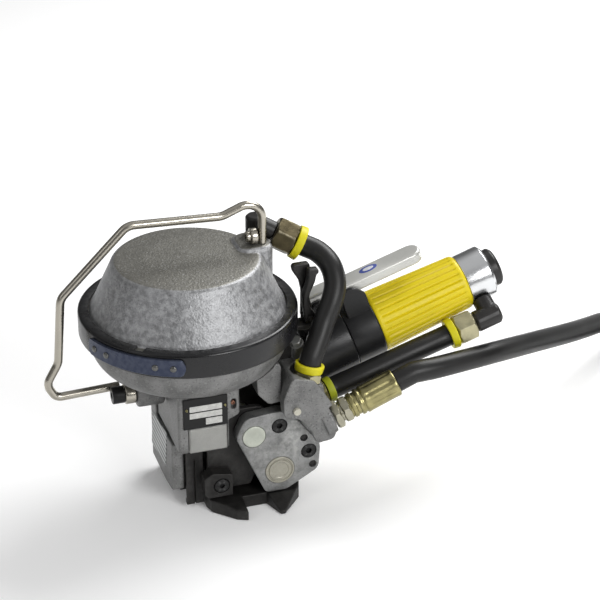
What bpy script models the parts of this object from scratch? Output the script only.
"""Pneumatic combination tool that tensions, crimps and cuts steel strapping.

Frame: +X is the strap direction, from the sealing cylinder to the air motor; -Y is the open
front, where the strap goes in; +Z is up. The origin is on the underside of the base plate,
below the axis of the sealing cylinder. Lengths here are millimetres; MM turns them to metres.
"""
import math

import bmesh
import bpy
from mathutils import Matrix, Vector

MM = 0.001
GAP = 0.3                      # clearance between pieces that touch

# Sealing cylinder, around the Z axis
BAND_RADIUS = 77.5
BAND_BOTTOM = 128.5
BAND_TOP = 147.0
FLANGE_RADIUS = 74.0
SPLIT_Z = 137.0                # joint between bowl and head
BORE_RADIUS = 62.0
BOWL_NECK = 71.0
BOWL_FOOT = 42.0
BOWL_TOP = 126.0
BOWL_BOTTOM = 98.5
ROD_RADIUS = 8.0
PISTON_TOP = 148.0

# Frame
BASE_HEIGHT = 10.0
HOUSING_BOTTOM = 53.0
HOUSING_FRONT = -48.0
WALL_LEFT = -23.0
LUG_TOP = 186.0                # raised pad on the cylinder head

# Rocker: cover plate, tension wheel and air motor tilt about this Y axis
PIVOT_X, PIVOT_Z = 32.7, 59.8
PIVOT_RADIUS = 7.0
COVER_FRONT, COVER_BACK = -50.0, -40.0
WHEEL_X, WHEEL_Z = 51.7, 28.7
WHEEL_RADIUS = 16.8
SHAFT_RADIUS = 6.0

# Air motor: its frame starts at the grip's lower end and its Z axis climbs along the grip
MOTOR_ORIGIN = (140.0, 0.0, 109.4)
MOTOR_CLIMB = math.radians(18.6)
GRIP_LENGTH = 72.0
GEAR_CASE_START = -56.0
AIR_FITTING = (20.0, -27.2)    # below the motor axis, and towards the front
LEVER_PIN_T, LEVER_PIN_N = -35.0, 34.0

# Air lines
HOSE_RADIUS = 8.0
COIL_CENTRE = (483.0, 32.0)
COIL_OUTER, COIL_INNER = 101.0, 84.5
TAIL_RADIUS = 68.0
COIL_START = math.radians(125.0)
COIL_TURN = math.radians(600.0)

HEAD_PORT, HEAD_DIRECTION = (74.3, 10.0, 184.0), (0.84, -0.30, -0.45)
TOP_PORT, TOP_DIRECTION = (72.6, -46.0, 96.0), (0.24, 0.09, 0.965)
SIDE_PORT, SIDE_DIRECTION = (86.0, -32.6, 75.5), (0.96, 0.09, 0.24)
SUPPLY_PORT, SUPPLY_DIRECTION = (89.6, -53.5, 68.3), (0.926, 0.0, 0.378)

PALETTE = {                    # colour, roughness, metallic
    "cast": ((0.45, 0.45, 0.44), 0.55, 0.7),
    "cast_dark": ((0.28, 0.27, 0.26), 0.6, 0.7),
    "machined": ((0.66, 0.66, 0.64), 0.35, 0.9),
    "dark_steel": ((0.06, 0.055, 0.05), 0.5, 0.8),
    "black": ((0.02, 0.02, 0.022), 0.35, 0.1),
    "blued": ((0.035, 0.04, 0.06), 0.35, 0.8),
    "nickel": ((0.75, 0.72, 0.64), 0.25, 1.0),
    "brass": ((0.72, 0.62, 0.32), 0.3, 1.0),
    "bronze": ((0.2, 0.17, 0.1), 0.4, 0.9),
    "polished": ((0.85, 0.86, 0.87), 0.12, 1.0),
    "silver_paint": ((0.7, 0.7, 0.68), 0.35, 0.3),
    "yellow": ((0.8, 0.62, 0.03), 0.4, 0.0),
    "lime": ((0.55, 0.55, 0.06), 0.4, 0.0),
    "rubber": ((0.03, 0.03, 0.032), 0.6, 0.0),
    "pale": ((0.72, 0.74, 0.68), 0.35, 0.4),
}


# ---------------------------------------------------------------- scene and helpers

for old in list(bpy.data.objects):
    bpy.data.objects.remove(old, do_unlink=True)

PARTS = bpy.data.collections.new("pneumatic_strapping_tool")
TOOLS = bpy.data.collections.new("cutters")
for collection in (PARTS, TOOLS):
    bpy.context.scene.collection.children.link(collection)


def finish(obj, look):
    """Gives a part its own Principled material and smooth shading."""
    colour, roughness, metallic = PALETTE[look]
    material = bpy.data.materials.new(obj.name + "_finish")
    material.use_nodes = True
    shader = material.node_tree.nodes["Principled BSDF"]
    shader.inputs["Base Color"].default_value = (*colour, 1.0)
    shader.inputs["Roughness"].default_value = roughness
    shader.inputs["Metallic"].default_value = metallic
    obj.data.materials.append(material)
    if obj.type == "MESH":
        obj.data.shade_smooth()
        obj.data.set_sharp_from_angle(angle=math.radians(35))
    return obj


def register(name, data, look, parent=None):
    """Makes the object: a part when it has a look, a hidden cutter when it has none."""
    obj = bpy.data.objects.new(name, data)
    obj.parent = parent
    if look:
        PARTS.objects.link(obj)
        finish(obj, look)
    else:
        TOOLS.objects.link(obj)
        obj.hide_render = True
        obj.display_type = "WIRE"
    return obj


def ride(obj, axis_empty):
    """Parents a piece to its joint's empty and leaves it where it is."""
    obj.parent = axis_empty
    obj.matrix_parent_inverse = axis_empty.matrix_basis.inverted()
    return obj


def joint_empty(name, place, rotation=(0.0, 0.0, 0.0)):
    empty = bpy.data.objects.new(name, None)
    PARTS.objects.link(empty)
    empty.location = Vector(place) * MM
    empty.rotation_euler = rotation
    return empty


def bevel(obj, width, segments=1, angle=35.0):
    modifier = obj.modifiers.new("edges", "BEVEL")
    modifier.width = width * MM
    modifier.segments = segments
    modifier.limit_method = "ANGLE"
    modifier.angle_limit = math.radians(angle)
    return obj


def combine(target, other, operation):
    modifier = target.modifiers.new(operation.lower(), "BOOLEAN")
    modifier.object = other
    modifier.operation = operation
    modifier.solver = "EXACT"
    return target


def cut(target, *cutters):
    for cutter in cutters:
        combine(target, cutter, "DIFFERENCE")
    return target


def join(target, *additions):
    for addition in additions:
        combine(target, addition, "UNION")
    return target


def block(name, x, y, z, look=None, edge=0.0, parent=None):
    """A box from its (low, high) limits along each axis."""
    limits = (x, y, z)
    mesh = bpy.data.meshes.new(name)
    shape = bmesh.new()
    bmesh.ops.create_cube(shape, size=1.0)
    size = [(high - low) * MM for low, high in limits]
    bmesh.ops.scale(shape, vec=size, verts=shape.verts)
    shape.to_mesh(mesh)
    shape.free()
    obj = register(name, mesh, look, parent)
    obj.location = [(low + high) / 2 * MM for low, high in limits]
    if edge:
        bevel(obj, edge)
    return obj


def aim(obj, start, direction):
    """Puts a shape made along Z at a point, with its Z axis along a direction."""
    obj.location = Vector(start) * MM
    obj.rotation_euler = Vector(direction).to_track_quat("Z", "Y").to_euler()
    return obj


def rod(name, radius, start, direction, length, look=None, sides=20, edge=0.0, parent=None):
    """A straight cylinder, or a hexagon with six sides, from a start point."""
    mesh = bpy.data.meshes.new(name)
    shape = bmesh.new()
    half = Matrix.Translation((0, 0, length / 2 * MM))
    bmesh.ops.create_cone(shape, cap_ends=True, segments=sides, radius1=radius * MM,
                          radius2=radius * MM, depth=length * MM, matrix=half)
    shape.to_mesh(mesh)
    shape.free()
    obj = aim(register(name, mesh, look, parent), start, direction)
    if edge:
        bevel(obj, edge)
    return obj


def turned(name, profile, look=None, start=(0, 0, 0), direction=(0, 0, 1), sides=32, parent=None,
           closed=False):
    """A profile of (radius, height) points turned about its own Z axis.

    Screw wants the outer side to run downwards, so a profile drawn the other way is reversed.
    """
    ring = list(zip(profile, profile[1:] + profile[:1]))
    if sum(r * next_z - next_r * z for (r, z), (next_r, next_z) in ring) > 0:
        profile = profile[::-1]
    mesh = bpy.data.meshes.new(name)
    count = len(profile)
    edges = [(i, i + 1) for i in range(count - 1)]
    if closed:
        edges.append((count - 1, 0))
    mesh.from_pydata([(r * MM, 0, z * MM) for r, z in profile], edges, [])
    obj = aim(register(name, mesh, look, parent), start, direction)
    screw = obj.modifiers.new("turn", "SCREW")
    screw.steps = screw.render_steps = sides
    screw.use_merge_vertices = True
    screw.merge_threshold = 0.00001
    screw.use_smooth_shade = True
    return obj


def arc(centre, radius, start, end, steps):
    """Points on a circle between two angles in degrees."""
    angles = [math.radians(start + (end - start) * i / steps) for i in range(steps + 1)]
    return [(centre[0] + radius * math.cos(a), centre[1] + radius * math.sin(a)) for a in angles]


def rounded(corners, steps=3):
    """Turns (x, y) or (x, y, radius) corners into an outline with true arcs."""
    outline = []
    count = len(corners)
    for i, corner in enumerate(corners):
        here = Vector(corner[:2])
        if len(corner) < 3:
            outline.append(tuple(here))
            continue
        back = (Vector(corners[i - 1][:2]) - here).normalized()
        ahead = (Vector(corners[(i + 1) % count][:2]) - here).normalized()
        half = back.angle(ahead) / 2
        reach = corner[2] / math.tan(half)
        middle = here + (back + ahead).normalized() * corner[2] / math.sin(half)
        first = here + back * reach - middle
        sweep = first.angle_signed(here + ahead * reach - middle)
        for k in range(steps + 1):
            turn = Matrix.Rotation(-sweep * k / steps, 2)
            outline.append(tuple(middle + turn @ first))
    return outline


PLANES = {"XY": (0.0, 0.0, 0.0), "XZ": (math.pi / 2, 0.0, 0.0),
          "YZ": (math.pi / 2, 0.0, math.pi / 2)}
DEPTH_AXIS = {"XY": 2, "XZ": 1, "YZ": 0}


def slab(name, outline, depth, look=None, plane="XZ", parent=None, edge=0.0):
    """A flat outline in one plane, extruded between two depths across it."""
    curve = bpy.data.curves.new(name, "CURVE")
    curve.dimensions = "2D"
    curve.fill_mode = "BOTH"
    curve.extrude = (depth[1] - depth[0]) / 2 * MM
    spline = curve.splines.new("POLY")
    spline.points.add(len(outline) - 1)
    for point, (u, v) in zip(spline.points, outline):
        point.co = (u * MM, v * MM, 0, 1)
    spline.use_cyclic_u = True
    obj = register(name, as_mesh(name, curve), look, parent)
    obj.rotation_euler = PLANES[plane]
    obj.location[DEPTH_AXIS[plane]] = (depth[0] + depth[1]) / 2 * MM
    if edge:
        bevel(obj, edge)
    return obj


def as_mesh(name, curve):
    """The closed mesh of a filled or bevelled curve."""
    holder = bpy.data.objects.new(name + "_curve", curve)
    TOOLS.objects.link(holder)
    graph = bpy.context.evaluated_depsgraph_get()
    mesh = bpy.data.meshes.new_from_object(holder.evaluated_get(graph))
    bpy.data.objects.remove(holder)
    shape = bmesh.new()
    shape.from_mesh(mesh)
    bmesh.ops.remove_doubles(shape, verts=shape.verts, dist=0.000005)
    bmesh.ops.recalc_face_normals(shape, faces=shape.faces)
    shape.to_mesh(mesh)
    shape.free()
    mesh.name = name
    return mesh


def tube(name, path, radius, look, resolution=2):
    """A round bar or hose along a list of points."""
    curve = bpy.data.curves.new(name, "CURVE")
    curve.dimensions = "3D"
    curve.bevel_depth = radius * MM
    curve.bevel_resolution = resolution
    curve.use_fill_caps = True
    spline = curve.splines.new("POLY")
    spline.points.add(len(path) - 1)
    for point, place in zip(spline.points, path):
        point.co = (*(Vector(place) * MM), 1)
    return register(name, as_mesh(name, curve), look)


def smooth_path(route, spacing):
    """Evenly spaced points on a Catmull-Rom curve through the route."""
    knots = [Vector(p) for p in route]
    ends = [2 * knots[0] - knots[1]] + knots + [2 * knots[-1] - knots[-2]]
    fine = []
    for a, b, c, d in zip(ends, ends[1:], ends[2:], ends[3:]):
        for k in range(24):
            t = k / 24
            fine.append(0.5 * (2 * b + (c - a) * t + (2 * a - 5 * b + 4 * c - d) * t ** 2
                               + (3 * b - a - 3 * c + d) * t ** 3))
    fine.append(knots[-1])
    lengths = [0.0]
    for a, b in zip(fine, fine[1:]):
        lengths.append(lengths[-1] + (b - a).length)
    count = max(2, round(lengths[-1] / spacing))
    path, i = [], 0
    for k in range(count + 1):
        target = lengths[-1] * k / count
        while i < len(fine) - 2 and lengths[i + 1] < target:
            i += 1
        share = (target - lengths[i]) / (lengths[i + 1] - lengths[i])
        path.append(fine[i].lerp(fine[i + 1], share))
    return path


def along(start, direction, distance):
    return Vector(start) + Vector(direction).normalized() * distance


# ---------------------------------------------------------------- joint frames

ROCKER = joint_empty("rocker_pivot", (PIVOT_X, 0, PIVOT_Z))
WHEEL = joint_empty("tension_wheel_axis", (WHEEL_X, 0, WHEEL_Z))
MOTOR = joint_empty("motor_axis", MOTOR_ORIGIN, (0.0, math.pi / 2 - MOTOR_CLIMB, 0.0))
PISTON = joint_empty("piston_axis", (0, 0, PISTON_TOP))
MOTOR_MATRIX = (Matrix.Translation(MOTOR_ORIGIN)
                @ Matrix.Rotation(math.pi / 2 - MOTOR_CLIMB, 4, "Y"))
MOTOR_DIRECTION = (math.cos(MOTOR_CLIMB), 0.0, math.sin(MOTOR_CLIMB))


def motor_point(t, n, y=0.0):
    """A world point from its place along the motor, above it and across it."""
    return MOTOR_MATRIX @ Vector((-n, y, t))


# ---------------------------------------------------------------- sealing cylinder

def bowl_profile(offset=0.0):
    """The bowl's outer side from its neck down to its foot."""
    bulge = BOWL_NECK - BOWL_FOOT
    depth = BOWL_TOP - BOWL_BOTTOM
    points = []
    for k in range(7):
        angle = math.radians(15 * k)
        radius = BOWL_FOOT + bulge * math.cos(angle) + offset
        points.append((radius, BOWL_TOP - depth * math.sin(angle) - offset))
    return points


def bowl_cutter(name):
    profile = [(0, 140), (BOWL_NECK + GAP, 140)] + bowl_profile(GAP) + [(0, BOWL_BOTTOM - GAP)]
    return turned(name, profile)


def sealing_cylinder():
    bowl = turned("lower_cylinder", [
        (BORE_RADIUS, SPLIT_Z), (FLANGE_RADIUS, SPLIT_Z), (FLANGE_RADIUS, 130.3),
        (BOWL_NECK, 130.3), *bowl_profile(), (ROD_RADIUS + 0.4, BOWL_BOTTOM),
        (ROD_RADIUS + 0.4, 106), (40, 106), (BORE_RADIUS, 118)], "cast", closed=True)
    boss = rod("bail_boss", 10, (-43, -10.8, 87), (1, 0, 0), 19.7)
    web = block("bail_boss_web", (-42.5, -24), (-20, -1.6), (87, 103))
    join(boss, web)
    join(bowl, boss)

    head = turned("cylinder_head", [
        (0, 185), (30, 184.2), (48, 182.2), (53, 180), (56.5, 175), (67, 151), (68.5, 147.3),
        (68.5, 145.2), (FLANGE_RADIUS, 145.2), (FLANGE_RADIUS, SPLIT_Z + GAP),
        (BORE_RADIUS, SPLIT_Z + GAP), (BORE_RADIUS, 151), (50, 173), (44, 176), (0, 178)],
        "cast")
    lug = block("head_lug", (36, 62.5), (-8, 26), (146, LUG_TOP), edge=4)
    lug_hollow = turned("head_lug_hollow", [
        (0, 177.9), (43.9, 175.9), (50, 172.9), (BORE_RADIUS, 150.9), (BORE_RADIUS, 140), (0, 140)])
    arm_room = rod("head_arm_room", 7.8, along(HEAD_PORT, HEAD_DIRECTION, -22), HEAD_DIRECTION, 30)
    nut_room = rod("head_nut_room", 13.3, along(HEAD_PORT, HEAD_DIRECTION, -9), HEAD_DIRECTION, 30)
    cut(lug, lug_hollow, arm_room, nut_room)
    join(head, lug)

    turned("clamp_band", [
        (70, BAND_TOP), (BAND_RADIUS, BAND_TOP), (BAND_RADIUS, BAND_BOTTOM), (71.6, BAND_BOTTOM),
        (71.6, 130), (FLANGE_RADIUS + GAP, 130), (FLANGE_RADIUS + GAP, 145.5), (70, 145.5)],
        "black", sides=48, closed=True)
    clasp = arc((0, 0), BAND_RADIUS + GAP, -164, -106, 12)
    clasp += arc((0, 0), BAND_RADIUS + 2.4, -106, -164, 12)
    slab("band_clasp", clasp, (131.5, 144.5), "blued", "XY")


def piston_set():
    piston = turned("piston", [
        (0, PISTON_TOP), (60.5, PISTON_TOP), (61.5, PISTON_TOP - 1), (61.5, 138), (20, 138),
        (ROD_RADIUS, 132), (ROD_RADIUS, 76.3), (0, 76.3)], "machined", sides=24)
    spring = turned("return_spring", [
        (24, 131.5), (28, 131.5), (28, 106.3), (24, 106.3)], "dark_steel", sides=20, closed=True)
    spring_cup = turned("spring_cup", [(23, 140), (29, 140), (29, 131.8), (23, 131.8)],
                        sides=24, closed=True)
    cut(piston, spring_cup)
    punch = block("punch_block", (-13.7, -1.8), (-28.5, -18.5), (24.5, 70), "dark_steel", 0.5)
    arm = block("punch_arm", (-13.7, 6), (-28.5, 7), (66, 76), edge=0.8)
    join(punch, arm)
    blade = block("cutter_blade", (1, 4.5), (-27.5, -14.5), (24, 65.7), "dark_steel", 0.4)
    for piece in (piston, punch, blade):
        ride(piece, PISTON)
    return spring


def jaws():
    """Crimping jaws on both sides of the strap, each with a foot that closes under it."""
    middle = -23.5
    outline = [(-12.5, 3.2), (-8, 3.2), (-8, 6.5), (-9.7, 9), (-9.7, 38), (-6.5, 42),
               (-6.5, 50), (-12.5, 50)]
    for name, side in (("front_jaws", 1), ("rear_jaws", -1)):
        axis = joint_empty(name + "_axis", (-7.8, middle - side * 9, 46))
        shape = [(middle + side * y, z) for y, z in outline]
        jaw = slab(name, shape, (-14, -1.5), "dark_steel", "YZ")
        groove_y = middle - side * 12.5
        groove = block(name + "_groove", (-8.2, -7.4), (groove_y - 1.5, groove_y + 1.5), (2, 40))
        cut(jaw, groove)
        ride(jaw, axis)


# ---------------------------------------------------------------- frame

def base():
    plate = slab("base_plate", rounded([
        (-17, 30, 3), (-17, -9), (-0.5, -9), (-0.5, -38), (1.5, -46, 3), (16, -61, 3),
        (24, -64.5), (24, -47.5), (42, -47.5), (48, -64, 1), (51.5, -64, 1), (67, -46.5),
        (85, 10, 4), (85, 30, 4)]), (0, BASE_HEIGHT), "dark_steel", "XY")
    wedge = block("nose_slope", (41, 70), (-24, 0), (0, 12))
    wedge.rotation_euler = (math.radians(28), 0, 0)
    wedge.location = Vector((55, -58.3, 12.4)) * MM
    shoulder = block("shoulder_slope", (-5, 24.5), (-24, 0), (0, 12))
    shoulder.location = Vector((9.5, -59.5, 14.6)) * MM
    shoulder.rotation_euler = (math.radians(15), 0, 0)
    pocket = block("gripper_pocket", (42.7, 61.3), (-33.3, -14.7), (8, 12))
    cut(plate, wedge, shoulder, pocket)
    block("gripper_plate", (43, 61), (-33, -15), (8.3, 11.3), "machined", 0.3)


def main_frame():
    wall = slab("main_frame", rounded([
        (30, 10.3), (-11, 10.3), (-28, 12.7), (-32, 16), (-32, 52.7), (14.5, 52.7), (14.5, 70),
        (30, 70, 8)]), (WALL_LEFT, -14.3), "cast", "YZ")
    column = block("frame_column", (-20, 24), (9, 30), (10.3, 52.7))
    cheek = slab("rear_cheek", rounded([
        (-20, 10.3), (70, 10.3), (70, 40, 10), (50, 74, 10), (20, 80, 8), (-20, 80)]), (24, 30))
    bore = rod("rear_bore", PIVOT_RADIUS + GAP, (PIVOT_X, 20, PIVOT_Z), (0, 1, 0), 14)
    join(wall, column, cheek)
    cut(wall, bore)


def front_cheek():
    cheek = slab("front_cheek", rounded([
        (1, 14.3), (1, 52.7), (15.3, 52.7), (15.3, 75.3), (22, 78, 2), (44, 78, 8),
        (48, 58, 6), (44, 44, 5), (33, 14.3, 3)]), (-39.4, -34.6), "dark_steel")
    bore = rod("cheek_bore", PIVOT_RADIUS + GAP, (PIVOT_X, -45, PIVOT_Z), (0, 1, 0), 14)
    cut(cheek, bore)

    guide = slab("strap_guide_block", rounded([
        (-4, 17), (-1, 14.5), (16.5, 14.5, 1), (16.5, 32, 1), (2, 34.5, 1), (-4, 31)]),
        (-50, -39.7), "dark_steel")
    seat = rod("guide_screw_seat", 5.8, (8.5, -55, 23.5), (0, 1, 0), 9.3)
    cut(guide, seat)
    socket_screw("guide_block_screw", (8.5, -50.2, 23.5), 5.4, 4.0, 2.1)


def socket_screw(name, face, radius, height, socket, shank=0.0, direction=(0, 1, 0),
                 look="dark_steel"):
    """A cap screw seen from its head; face is the middle of the head's outer face."""
    head = [(radius, height), (radius, 0.6), (radius - 0.6, 0), (0, 0)]
    stem = [(0, height + shank), (radius / 2, height + shank), (radius / 2, height)]
    profile = (stem if shank else [(0, height)]) + head
    screw = turned(name, profile, look, face, direction, 16)
    hexagon = rod(name + "_socket", socket, along(face, direction, -1), direction,
                  1 + height * 0.6, sides=6)
    return cut(screw, hexagon)


def sealer():
    housing = block("sealer_housing", (WALL_LEFT + 1.5, 23.4), (HOUSING_FRONT, 14),
                    (HOUSING_BOTTOM, 101), "cast", 1.5)
    cover_room = slab("cover_room", [(40, 40), (40, 79.5), (23, 79.5), (15, 75.8), (15, 40)],
                      (-60, -34.3))
    notch = block("spacer_notch", (-14.3, 14.3), (-60, -34.7), (40, 73.3))
    cavity = block("punch_cavity", (-15, 7), (-34, 9), (40, 89))
    bore = rod("rod_bore", ROD_RADIUS + 0.6, (0, 0, 60), (0, 0, 1), 60)
    slot = slab("flange_slot", rounded([
        (16.9, 84.2, 1.8), (20.7, 83.6, 1.8), (20.7, 92, 1.8), (16.9, 92.6, 1.8)]), (-50, -43))
    cut(housing, cover_room, notch, cavity, bowl_cutter("housing_bowl_cut"), bore, slot)
    block("spacer_block", (-14, 14), (HOUSING_FRONT - 0.5, -35), (HOUSING_BOTTOM, 73),
          "machined", 1)
    block("rating_plate", (-18, 14), (HOUSING_FRONT - 1.3, HOUSING_FRONT - GAP), (73.6, 97.7),
          "black", 0.3)


def bridge():
    casting = slab("bridge_casting", rounded([
        (36.5, 92, 4), (35.5, 106, 4), (39.5, 112.3, 4), (46, 114.2, 3), (53.5, 115, 3),
        (53.5, 84), (44.5, 83, 4)][::-1]), (-48.5, -24), "cast")
    cut(casting, bowl_cutter("bridge_bowl_cut"))


def pivot_shaft():
    turned("pivot_shaft", [
        (0, 80), (PIVOT_RADIUS, 80), (PIVOT_RADIUS, 10.7), (8.5, 10.7), (8.5, 0.6), (7.9, 0),
        (0, 0)], "pale", (PIVOT_X, COVER_FRONT - 0.5, PIVOT_Z), (0, 1, 0), 24)


# ---------------------------------------------------------------- bail

def bail():
    route = rounded([
        (55, LUG_TOP + GAP), (55.4, 215, 11), (42, 217, 12), (26, 210.2, 14), (-41, 212.6, 12),
        (-90, 164, 12), (-94.2, 115, 14), (-103.5, 99, 9), (-97.5, 87.4, 7), (-52, 89.4)], 5)
    tube("bail_rod", [(x, 0, z) for x, z in route], 3.0, "nickel")
    turned("bail_top_eye", [
        (2.5, 0), (2.5, 5), (5.8, 5), (5.8, 0)], "nickel",
        (46, 0, LUG_TOP + 6.2), (1, 0, 0), 20, closed=True)
    turned("bail_lower_eye", [
        (3, 0), (3, 7.7), (7.5, 7.7), (7.5, 0)], "nickel",
        (-51, -10.8, 88.3), (1, 0, 0), 20, closed=True)
    socket_screw("bail_lower_screw", (-60, -10.8, 88.3), 6.2, 8.7, 3.0, 0, (1, 0, 0))


# ---------------------------------------------------------------- air lines on the frame

def hose_nut(name, port, direction, start, length, radius, look):
    """A hexagon nut bored for the hose that leaves it."""
    nut = rod(name, radius, along(port, direction, start), direction, length, look, 6, 0.7)
    bore = rod(name + "_bore", 5, along(port, direction, start - 1), direction, length + 2)
    return cut(nut, bore)


def hose_ring(name, port, direction, start, length, radius, look):
    return turned(name, [
        (HOSE_RADIUS + GAP, length), (radius, length), (radius, 0), (HOSE_RADIUS + GAP, 0)],
        look, along(port, direction, start), direction, 20, closed=True)


def head_line():
    elbow = rod("head_elbow", 7.5, (55.5, 16.7, LUG_TOP + GAP), (0, 0, 1), 14, "black", edge=1.5)
    arm = rod("head_elbow_arm", 7.0, along(HEAD_PORT, HEAD_DIRECTION, -21), HEAD_DIRECTION, 12.7)
    join(elbow, arm)
    hose_nut("head_hose_nut", HEAD_PORT, HEAD_DIRECTION, -8, 16, 12.5, "bronze")
    hose_ring("head_hose_ring", HEAD_PORT, HEAD_DIRECTION, 8.3, 7, 12.8, "yellow")


def cylinder_line():
    """The hose from the valve block up to the cylinder head."""
    hose_nut("block_top_nut", TOP_PORT, TOP_DIRECTION, 0.3, 7.5, 11.5, "brass")
    hose_ring("block_top_ring", TOP_PORT, TOP_DIRECTION, 8.1, 6.5, 12.5, "yellow")
    route = [along(HEAD_PORT, HEAD_DIRECTION, s) for s in (8.7, 12, 16)]
    route += [(96.5, -0.5, 173), (101.6, -11.5, 167.5), (102.6, -20, 157.5), (98.4, -26.5, 147),
              (90.8, -31.5, 134), (84.4, -37.6, 123.6)]
    route += [along(TOP_PORT, TOP_DIRECTION, s) for s in (17, 14.7, 11.5, 8.3)]
    tube("cylinder_hose", smooth_path(route, 7), HOSE_RADIUS, "rubber", 3)


def valve_block():
    lobe = slab("valve_block", rounded([
        (58, 108, 4), (51.4, 92, 8), (51.8, 77.5, 5), (62.8, 74.5, 3), (71.5, 64, 20),
        (76, 52.3, 3), (90, 54, 5), (91, 66), (87.2, 83, 3), (79.5, 96, 3), (74, 103.5, 3)]),
        (-61, -51.2), "cast")
    body = slab("valve_body", rounded([
        (58.5, 106, 3), (54, 96, 3), (54, 84, 3), (66, 79.5, 3), (79, 72, 3), (86, 60),
        (89, 60), (87, 70), (83.2, 98, 3), (80, 106, 3)]), (-52, -27))
    lug = block("valve_bolt_lug", (68, 76), (-31.8, -25), (99, 117), edge=1)
    neck = rod("valve_neck", 12.1, along(TOP_PORT, TOP_DIRECTION, -9), TOP_DIRECTION, 8.6)
    side = rod("valve_side_boss", 10.2, along(SIDE_PORT, SIDE_DIRECTION, -10), SIDE_DIRECTION, 10)
    inlet = rod("valve_inlet_boss", 11.3, along(SUPPLY_PORT, SUPPLY_DIRECTION, -8),
                SUPPLY_DIRECTION, 7.6)
    for port, direction, radius in ((TOP_PORT, TOP_DIRECTION, 13.2), (SIDE_PORT, SIDE_DIRECTION, 15),
                                    (SUPPLY_PORT, SUPPLY_DIRECTION, 15)):
        trim = rod("valve_face_trim", radius, port, direction, 40)
        cut(lobe, trim)
        cut(body, trim)
    cut(lug, bowl_cutter("lug_bowl_cut"))
    join(lobe, inlet, body, neck, side, lug)


def motor_line():
    """The hose from the valve block to the back of the air motor."""
    hose_nut("block_side_nut", SIDE_PORT, SIDE_DIRECTION, 0.3, 5.7, 9.5, "brass")
    hose_ring("block_side_ring", SIDE_PORT, SIDE_DIRECTION, 6.3, 5.7, 9.7, "lime")
    low, front = AIR_FITTING
    end = motor_point(49.7, -low, front)
    nut = motor_point(0, -low, front)
    route = [along(SIDE_PORT, SIDE_DIRECTION, s) for s in (6.5, 10, 14)]
    route += [(122, -32.5, 86.8), (158, -31, 97.5)]
    route += [along(end, MOTOR_DIRECTION, s) for s in (-12, -6, -0.2)]
    tube("motor_hose", smooth_path(route, 10), HOSE_RADIUS, "rubber", 3)
    ring = hose_ring("motor_hose_ring", nut, MOTOR_DIRECTION, 42.7, 6.6, 11.7, "yellow")
    collar = hose_nut("motor_hose_nut", nut, MOTOR_DIRECTION, 50, 14.5, 11.8, "brass")
    elbow = rod("motor_elbow", 8, along(nut, MOTOR_DIRECTION, 64.8), MOTOR_DIRECTION, 21, "black",
                edge=2)
    radial = Vector((0.0, -front, 0.0)) + (motor_point(0, 0) - motor_point(0, -low))
    inner = 19.9 / radial.length
    bend = along(nut, MOTOR_DIRECTION, 78.5)
    arm = rod("motor_elbow_arm", 7.3, bend, radial, radial.length * (1 - inner))
    cap_room = rod("elbow_cap_room", 19.8, motor_point(70, 0), MOTOR_DIRECTION, 30)
    join(elbow, arm)
    cut(elbow, cap_room)
    for piece in (ring, collar, elbow):
        ride(piece, ROCKER)


def supply_line():
    fitting = rod("supply_nut", 11.8, along(SUPPLY_PORT, SUPPLY_DIRECTION, GAP),
                  SUPPLY_DIRECTION, 5.5, "nickel", 6, 0.6)
    neck = rod("supply_neck", 7.5, along(SUPPLY_PORT, SUPPLY_DIRECTION, 5), SUPPLY_DIRECTION, 4,
               sides=24)
    second = rod("supply_hexagon", 10.2, along(SUPPLY_PORT, SUPPLY_DIRECTION, 7.5),
                 SUPPLY_DIRECTION, 6, sides=6, edge=0.6)
    collar = rod("supply_collar", 9.2, along(SUPPLY_PORT, SUPPLY_DIRECTION, 13),
                 SUPPLY_DIRECTION, 7)
    join(fitting, neck, second, collar)
    turned("supply_ferrule", [
        (0, 31), (10.3, 30.5), (10.3, 9), (9.7, 8), (9.7, 1), (0, 0)], "brass",
        along(SUPPLY_PORT, SUPPLY_DIRECTION, 20.3), SUPPLY_DIRECTION, 20)
    route = [along(SUPPLY_PORT, SUPPLY_DIRECTION, s) for s in (51.9, 58, 66)]
    route += [(166, -52.2, 93.5), (191, -46, 92), (223.5, -33.5, 87.5), (263, -7.5, 75),
              (311, 27.5, 57.5), (341, 51.5, 46), (366, 72, 36.5), (391, 91, 25.5)]
    tube("supply_hose", smooth_path(route, 16), HOSE_RADIUS, "rubber")

    half = HOSE_RADIUS + 0.3
    turned("supply_hose_coil", [
        (COIL_INNER - half, 2 * HOSE_RADIUS), (COIL_OUTER + half, 2 * HOSE_RADIUS),
        (COIL_OUTER + half, 0), (COIL_INNER - half, 0)], "rubber", (*COIL_CENTRE, 0),
        sides=48, closed=True)
    tail = [coil_tail_point(math.radians(a)) for a in (99, 110, 121, 132)]
    tube("supply_hose_tail", tail, HOSE_RADIUS, "rubber")
    heading = Vector(tail[-1]) - Vector(tail[-2])
    turned("supply_plug", [
        (0, 38), (5, 38), (5, 31), (4.2, 29), (4.2, 26), (5.4, 24), (5.4, 12), (7.8, 11),
        (7.8, 0), (0, 0)], "brass", along(tail[-1], heading, GAP),
        heading, 16)


def coil_tail_point(turn):
    """The hose's end curls off the inner turn on a tighter circle."""
    start = COIL_START - COIL_TURN
    shift = COIL_INNER - TAIL_RADIUS
    x = shift * math.cos(start) + TAIL_RADIUS * math.cos(start - turn)
    y = shift * math.sin(start) + TAIL_RADIUS * math.sin(start - turn)
    return (COIL_CENTRE[0] + x, COIL_CENTRE[1] + y, HOSE_RADIUS)


# ---------------------------------------------------------------- rocker

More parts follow.
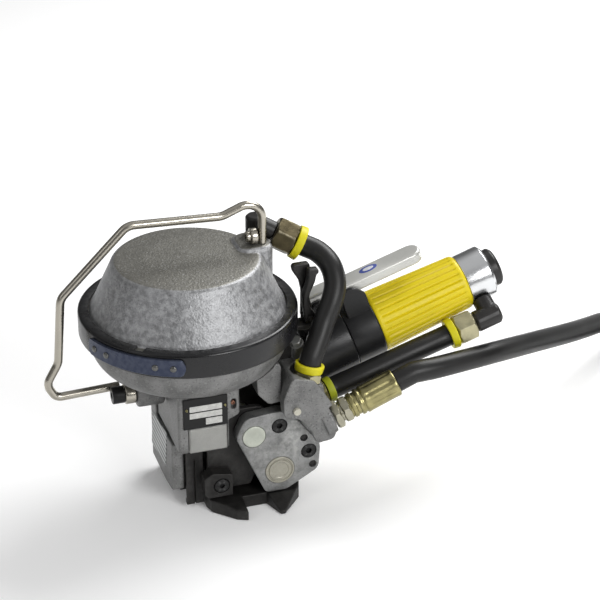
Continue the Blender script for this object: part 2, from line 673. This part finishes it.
def cover():
    plate = slab("cover_plate", rounded([
        (19.4, 60, 9), (26, 75, 8), (55, 77.5, 9), (66, 67.5, 4), (82.5, 46, 14), (81, 25, 8),
        (57, 11.4, 8), (41, 11.4, 5)][::-1]), (COVER_FRONT, COVER_BACK), "cast")
    holes = [rod("cover_pivot_hole", 8.8, (PIVOT_X, -52, PIVOT_Z), (0, 1, 0), 14),
             rod("cover_shaft_hole", 11.1, (WHEEL_X, -52, WHEEL_Z), (0, 1, 0), 14)]
    for name, x, z in (("cover_screw_upper", 51.6, 65.3), ("cover_screw_lower", 73.5, 40.7)):
        screw = socket_screw(name, (x, -49.9, z), 5.5, 4.2, 2.5, 5)
        ride(screw, ROCKER)
        holes.append(rod(name + "_seat", 5.9, (x, -52, z), (0, 1, 0), 6.6))
        holes.append(rod(name + "_hole", 3.1, (x, -48, z), (0, 1, 0), 12))
    for number, (x, z) in enumerate(((69.8, 52.1), (76.5, 29.2))):
        holes.append(rod(f"cover_dowel_hole_{number}", 2.9, (x, -52, z), (0, 1, 0), 4))
    cut(plate, *holes)
    ride(plate, ROCKER)


def tension_unit():
    housing = slab("tension_housing", rounded([
        (26, 13), (74, 13, 8), (86, 24, 8), (110, 66), (100, 100), (74, 100, 3), (62, 88, 4),
        (36, 84, 4), (31, 78), (31, 54), (26, 48)]), (-12, 22), "cast_dark")
    web = block("housing_web", (58, 76), (-39.7, -10), (30, 62), edge=2)
    wheel_room = rod("wheel_room", WHEEL_RADIUS + 1.2, (WHEEL_X, -45, WHEEL_Z), (0, 1, 0), 33,
                     sides=40)
    motor_side = block("motor_side", (-60, 60), (-40, 40), (GEAR_CASE_START - GAP, 60),
                       parent=MOTOR)
    pivot_bore = rod("housing_pivot_bore", PIVOT_RADIUS + GAP, (PIVOT_X, -20, PIVOT_Z),
                     (0, 1, 0), 50)
    shaft_bore = rod("housing_shaft_bore", SHAFT_RADIUS + GAP, (WHEEL_X, -20, WHEEL_Z),
                     (0, 1, 0), 50)
    join(housing, web)
    cut(housing, wheel_room, motor_side, pivot_bore, shaft_bore)
    ride(housing, ROCKER)

    wheel = turned("tension_wheel", [
        (SHAFT_RADIUS + GAP, 20), (15.8, 20), (WHEEL_RADIUS, 19), (WHEEL_RADIUS, 1), (15.8, 0),
        (SHAFT_RADIUS + GAP, 0)], "dark_steel", (WHEEL_X, -34, WHEEL_Z), (0, 1, 0), 32,
        closed=True)
    shaft = turned("wheel_shaft", [
        (0, 71), (SHAFT_RADIUS, 71), (SHAFT_RADIUS, 10.6), (10.8, 10.6), (10.8, 0.5), (9.6, 0),
        (8.8, 0.7), (8.3, 0), (0, 0)], "pale", (WHEEL_X, COVER_FRONT - 0.6, WHEEL_Z), (0, 1, 0),
        24)
    for piece in (wheel, shaft):
        ride(piece, WHEEL)


def motor_tube(name, profile, look, sides=32):
    return turned(name, profile, look, sides=sides, parent=MOTOR, closed=True)


def air_motor():
    bore = SHAFT_RADIUS - 0.7
    case = motor_tube("gear_case", [
        (bore, -22.8), (25, -22.8), (25, -53), (22.5, GEAR_CASE_START), (bore, GEAR_CASE_START)],
        "black")
    pin_t, pin_x = LEVER_PIN_T, -LEVER_PIN_N
    ears = [slab(f"pin_ear_{number}", rounded([
        (-18, pin_t - 6), (-18, pin_t + 6), (pin_x - 4.5, pin_t + 6, 4),
        (pin_x - 4.5, pin_t - 6, 4)]), depth, parent=MOTOR)
        for number, depth in enumerate(((-6.2, -3.3), (11.3, 14.2)))]
    pin = rod("lever_pin", 3, (pin_x, -7, pin_t), (0, 1, 0), 22, sides=20, parent=MOTOR)
    join(case, *ears, pin)

    collar = motor_tube("motor_collar", [
        (bore, -0.3), (23.2, -0.3), (24, -1.1), (24, -22.5), (bore, -22.5)], "black")
    lug = slab("collar_lug", rounded([
        (-15, -19), (-15, -1), (-34, -1, 3), (-42, -8, 6), (-42, -19, 3)][::-1]), (-13.5, -9.8),
        parent=MOTOR)
    join(collar, lug)

    motor_tube("motor_sleeve", [
        (17, GRIP_LENGTH), (19.2, GRIP_LENGTH), (20.6, GRIP_LENGTH - 1.6), (23.2, 1), (22.6, 0),
        (17, 0)], "yellow")
    turned("motor_end_cap", [
        (0, 93), (17.8, 93), (19.5, 91.4), (19.5, 72.3), (0, 72.3)], "polished", sides=28,
        parent=MOTOR)
    turned("end_plug", [
        (0, 101.5), (7, 101), (12.5, 99), (15, 96.5), (15.6, 93.3), (0, 93.3)], "black",
        sides=20, parent=MOTOR)
    shaft = bore - GAP
    turned("motor_rotor", [
        (0, 68), (4, 68), (4, 64), (15, 64), (15, 6), (shaft, 6), (shaft, -50), (0, -50)],
        "machined", sides=20, parent=MOTOR)


def hand_lever():
    """A pressed channel, pinned on the gear case and squeezed towards the grip."""
    pin_t, pin_x = LEVER_PIN_T, -LEVER_PIN_N
    lever = slab("hand_lever", rounded([
        (11, -41.5, 2), (11, -22, 4), (8, -12, 4), (8, 49.5, 8), (-9, 49.5, 8), (-9, -14, 3),
        (-3, -26.5, 2), (-3, -41.5, 2)]), (-43.5, -34.8), "silver_paint", "YZ", parent=MOTOR)
    channel = slab("lever_channel", rounded([
        (6, -20), (6, 47.5, 6.5), (-7, 47.5, 6.5), (-7, -20)]), (-41.5, -30), plane="YZ",
        parent=MOTOR)
    boss = slab("lever_boss", rounded([
        (-43, -41.5, 2), (pin_x + 5.5, -41.5, 5), (pin_x + 5.5, -29, 5), (-36, -24), (-43, -24)]),
        (-3, 11), parent=MOTOR)
    pin_hole = rod("lever_pin_hole", 3.3, (pin_x, -12, pin_t), (0, 1, 0), 30, sides=20,
                   parent=MOTOR)
    cut(lever, channel)
    join(lever, boss)
    cut(lever, pin_hole)


# ---------------------------------------------------------------- valve levers

VALVE_PIN_X, VALVE_PIN_Z = 84.0, 132.0


def valve_levers():
    bracket = block("valve_lever_bracket", (66, 88), (-22, -9), (123.5, 127.5), "cast_dark", 0.6)
    ear = slab("valve_lever_ear", rounded([
        (79, 125), (89, 125), (89, 134, 4), (84, 137.5, 4), (79, 134, 4)]), (-15.2, -12.8))
    pin = rod("valve_lever_pin", 2, (VALVE_PIN_X, -22.3, VALVE_PIN_Z), (0, 1, 0), 15.8, sides=16)
    cut(bracket, bowl_cutter("bracket_bowl_cut"))
    join(bracket, ear, pin)

    front = slab("tension_valve_lever", rounded([
        (79.5, 128.5, 3), (79.8, 150, 10), (82, 166, 4), (82.5, 171, 2), (91, 170.5, 1.5),
        (91.5, 167.5, 1.5), (88, 164.5, 3), (87.4, 150, 10), (88.5, 128.5, 3)][::-1]),
        (-21.7, -15.5), "dark_steel")
    rear = slab("sealing_valve_lever", rounded([
        (79.8, 128.5, 3), (80.6, 148, 8), (73.5, 163, 6), (72.5, 171, 3), (87, 171.5, 3),
        (88, 150, 12), (88.5, 128.5, 3)][::-1]), (-12.5, -7.2), "dark_steel")
    axis = joint_empty("valve_lever_axis", (VALVE_PIN_X, 0, VALVE_PIN_Z))
    for lever in (front, rear):
        hole = rod(lever.name + "_hole", 2.3, (VALVE_PIN_X, -30, VALVE_PIN_Z), (0, 1, 0), 30,
                   sides=16)
        cut(lever, hole)
        ride(lever, axis)


sealing_cylinder()
piston_set()
jaws()
base()
main_frame()
front_cheek()
sealer()
bridge()
pivot_shaft()
bail()
head_line()
cylinder_line()
valve_block()
motor_line()
supply_line()
cover()
tension_unit()
air_motor()
hand_lever()
valve_levers()
